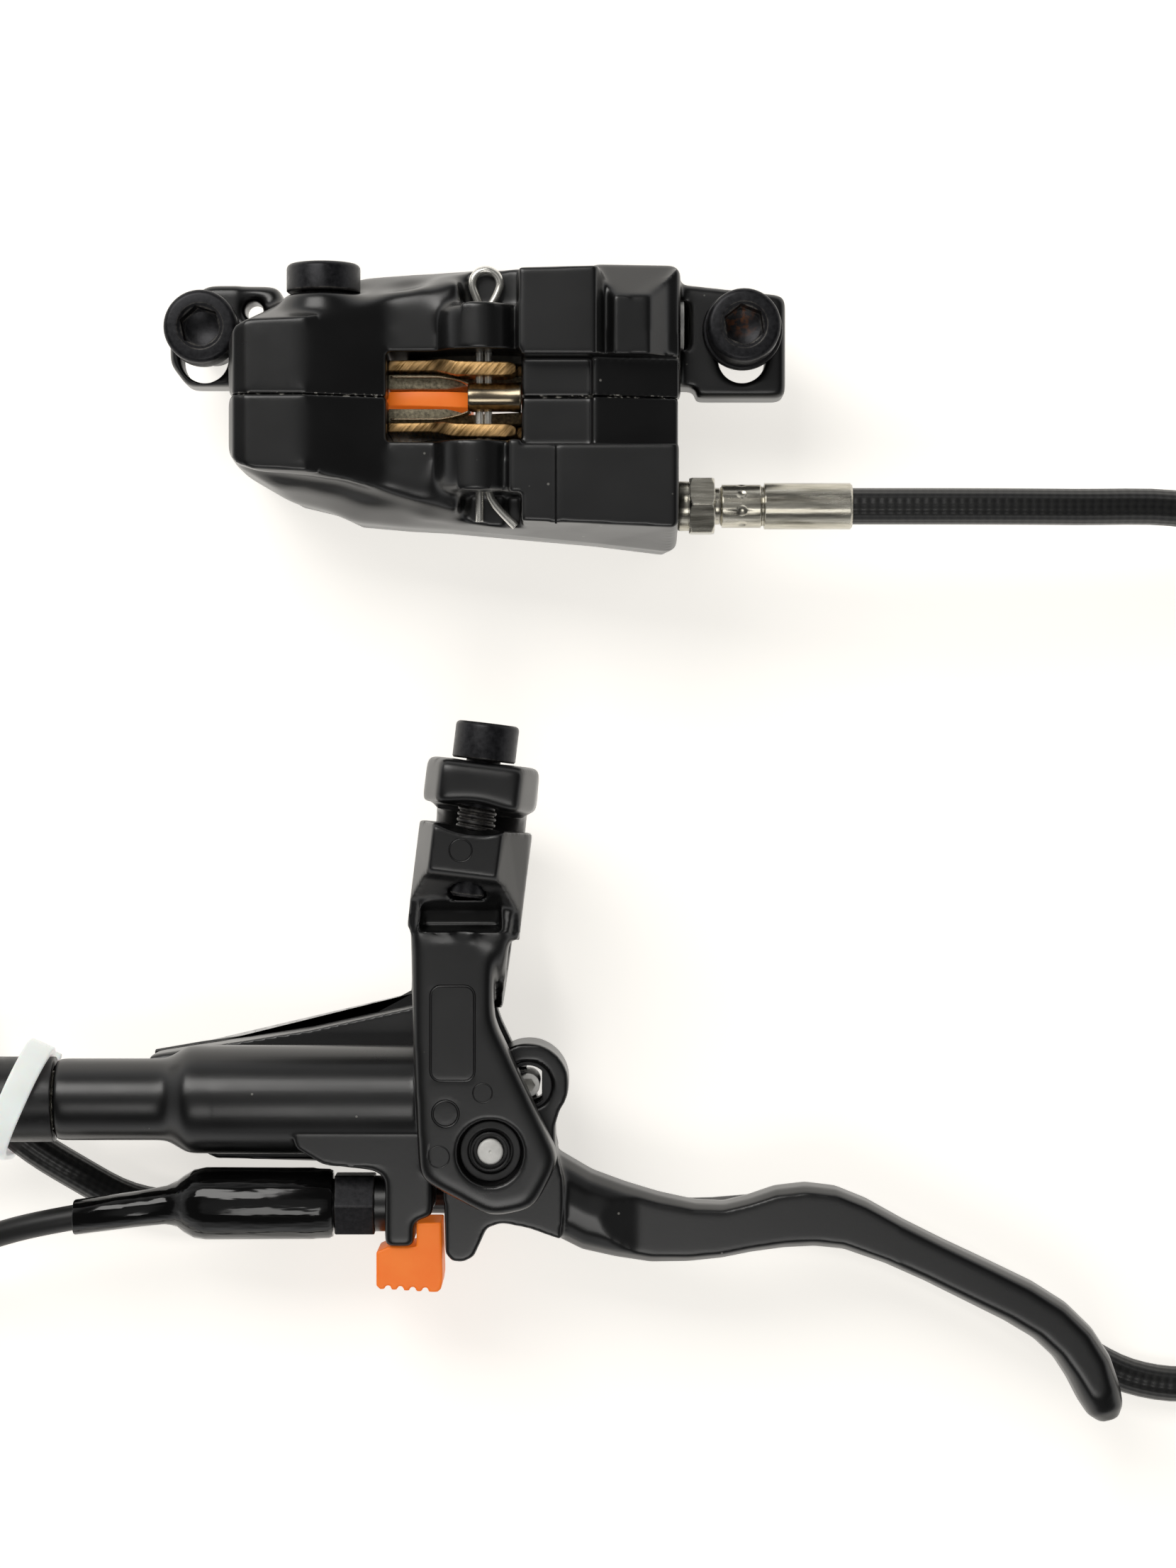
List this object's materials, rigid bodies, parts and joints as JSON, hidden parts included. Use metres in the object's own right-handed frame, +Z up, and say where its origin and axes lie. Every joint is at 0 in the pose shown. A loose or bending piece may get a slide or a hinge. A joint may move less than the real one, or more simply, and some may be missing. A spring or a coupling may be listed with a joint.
{
  "type": "hydraulic disc brake",
  "caption": "Bicycle brake: hand lever with clamp and master cylinder, cut-off switch cable, long hose and a caliper with opposed pistons, pads, pad spring and split pin.",
  "frame": {"origin": "middle of the lever and caliper seen from above, on the ground plane they lie on, cords left out", "axes": "+X towards the tip of the lever blade, +Y from the lever to the caliper, +Z up towards the viewer"},
  "size_m": [0.2594, 0.2067, 0.0384],
  "materials": {
    "black_painted_aluminium": "satin black paint",
    "black_oxide_steel": "satin",
    "black_bushing_plastic": "matte",
    "polished_steel": "polished",
    "zinc_plated_steel": "satin",
    "brass": "satin",
    "friction_lining": "matte",
    "black_rubber": "matte",
    "black_hose": "satin",
    "shrink_boot": "gloss",
    "orange_plastic": "satin",
    "white_nylon": "satin",
    "piston_resin": "satin"
  },
  "bodies": {
    "brake": {"lever_housing": "black_painted_aluminium", "clamp_bolt": "black_oxide_steel", "pivot_pin": "polished_steel", "pivot_bush_upper": "black_bushing_plastic", "pivot_bush_lower": "black_bushing_plastic", "piston_retainer": "black_oxide_steel", "reservoir_diaphragm": "black_rubber", "reservoir_cover": "black_painted_aluminium", "cover_screws": "black_oxide_steel", "lever_bleed_screw": "black_oxide_steel", "hose_cover": "black_bushing_plastic", "compression_nut": "zinc_plated_steel", "olive": "brass", "hose_insert": "brass", "hose_tie": "white_nylon", "switch_sensor": "black_oxide_steel", "sensor_collar": "black_painted_aluminium", "switch_boot": "shrink_boot", "switch_cable": "black_hose", "cable_connector": "black_bushing_plastic", "lever_block": "orange_plastic", "caliper_half_upper": "black_painted_aluminium", "caliper_half_lower": "black_painted_aluminium", "body_bolts": "black_oxide_steel", "port_o_ring": "black_rubber", "caliper_bleed_screw": "polished_steel", "piston_seal_upper": "black_rubber", "piston_seal_lower": "black_rubber", "pad_spring": "polished_steel", "pad_pin": "polished_steel", "pad_spacer": "orange_plastic", "mount_bolt_left": "black_oxide_steel", "mount_bolt_right": "black_oxide_steel", "mount_washer": "black_oxide_steel", "hose_connector": "zinc_plated_steel", "hose_ferrule": "zinc_plated_steel", "brake_hose": "black_hose"},
    "lever": {"lever_blade": "black_painted_aluminium", "eye_bush": "black_bushing_plastic", "heel_magnet": "polished_steel"},
    "pushrod": {"pushrod": "polished_steel", "pushrod_pin": "polished_steel"},
    "master_piston": {"master_piston": "brass", "primary_cup": "black_rubber", "secondary_cup": "black_rubber", "return_spring": "polished_steel"},
    "pad_upper": {"pad_plate_upper": "brass", "pad_lining_upper": "friction_lining", "piston_upper": "piston_resin"},
    "pad_lower": {"pad_plate_lower": "brass", "pad_lining_lower": "friction_lining", "piston_lower": "piston_resin"}
  },
  "joints": [
    {"name": "lever_pull", "type": "hinge", "parent": "brake", "child": "lever", "pos_m": [-0.0055, -0.041, 0.017], "axis": [0, 0, 1], "range_deg": [0, 18], "stiffness_Nm_per_rad": 0.6, "springref_deg": -11.46},
    {"name": "pushrod_swing", "type": "hinge", "parent": "lever", "child": "pushrod", "pos_m": [-0.0005, -0.0325, 0.017], "axis": [0, 0, 1], "range_deg": [-14.6, 0]},
    {"name": "piston_travel", "type": "slide", "parent": "brake", "child": "master_piston", "axis": [-1, 0, 0], "range_m": [0, 0.0027]},
    {"name": "pad_upper_travel", "type": "slide", "parent": "brake", "child": "pad_upper", "axis": [0, -1, 0], "range_m": [0, 0.00026]},
    {"name": "pad_lower_travel", "type": "slide", "parent": "brake", "child": "pad_lower", "axis": [0, 1, 0], "range_m": [0, 0.00026]}
  ],
  "couplings": [
    {"joint": "pushrod_swing", "follows": "lever_pull", "ratio": -0.8048},
    {"joint": "piston_travel", "follows": "lever_pull", "m_per_rad": 0.00856},
    {"joint": "pad_upper_travel", "follows": "lever_pull", "m_per_rad": 0.000796},
    {"joint": "pad_lower_travel", "follows": "lever_pull", "m_per_rad": 0.000796}
  ]
}
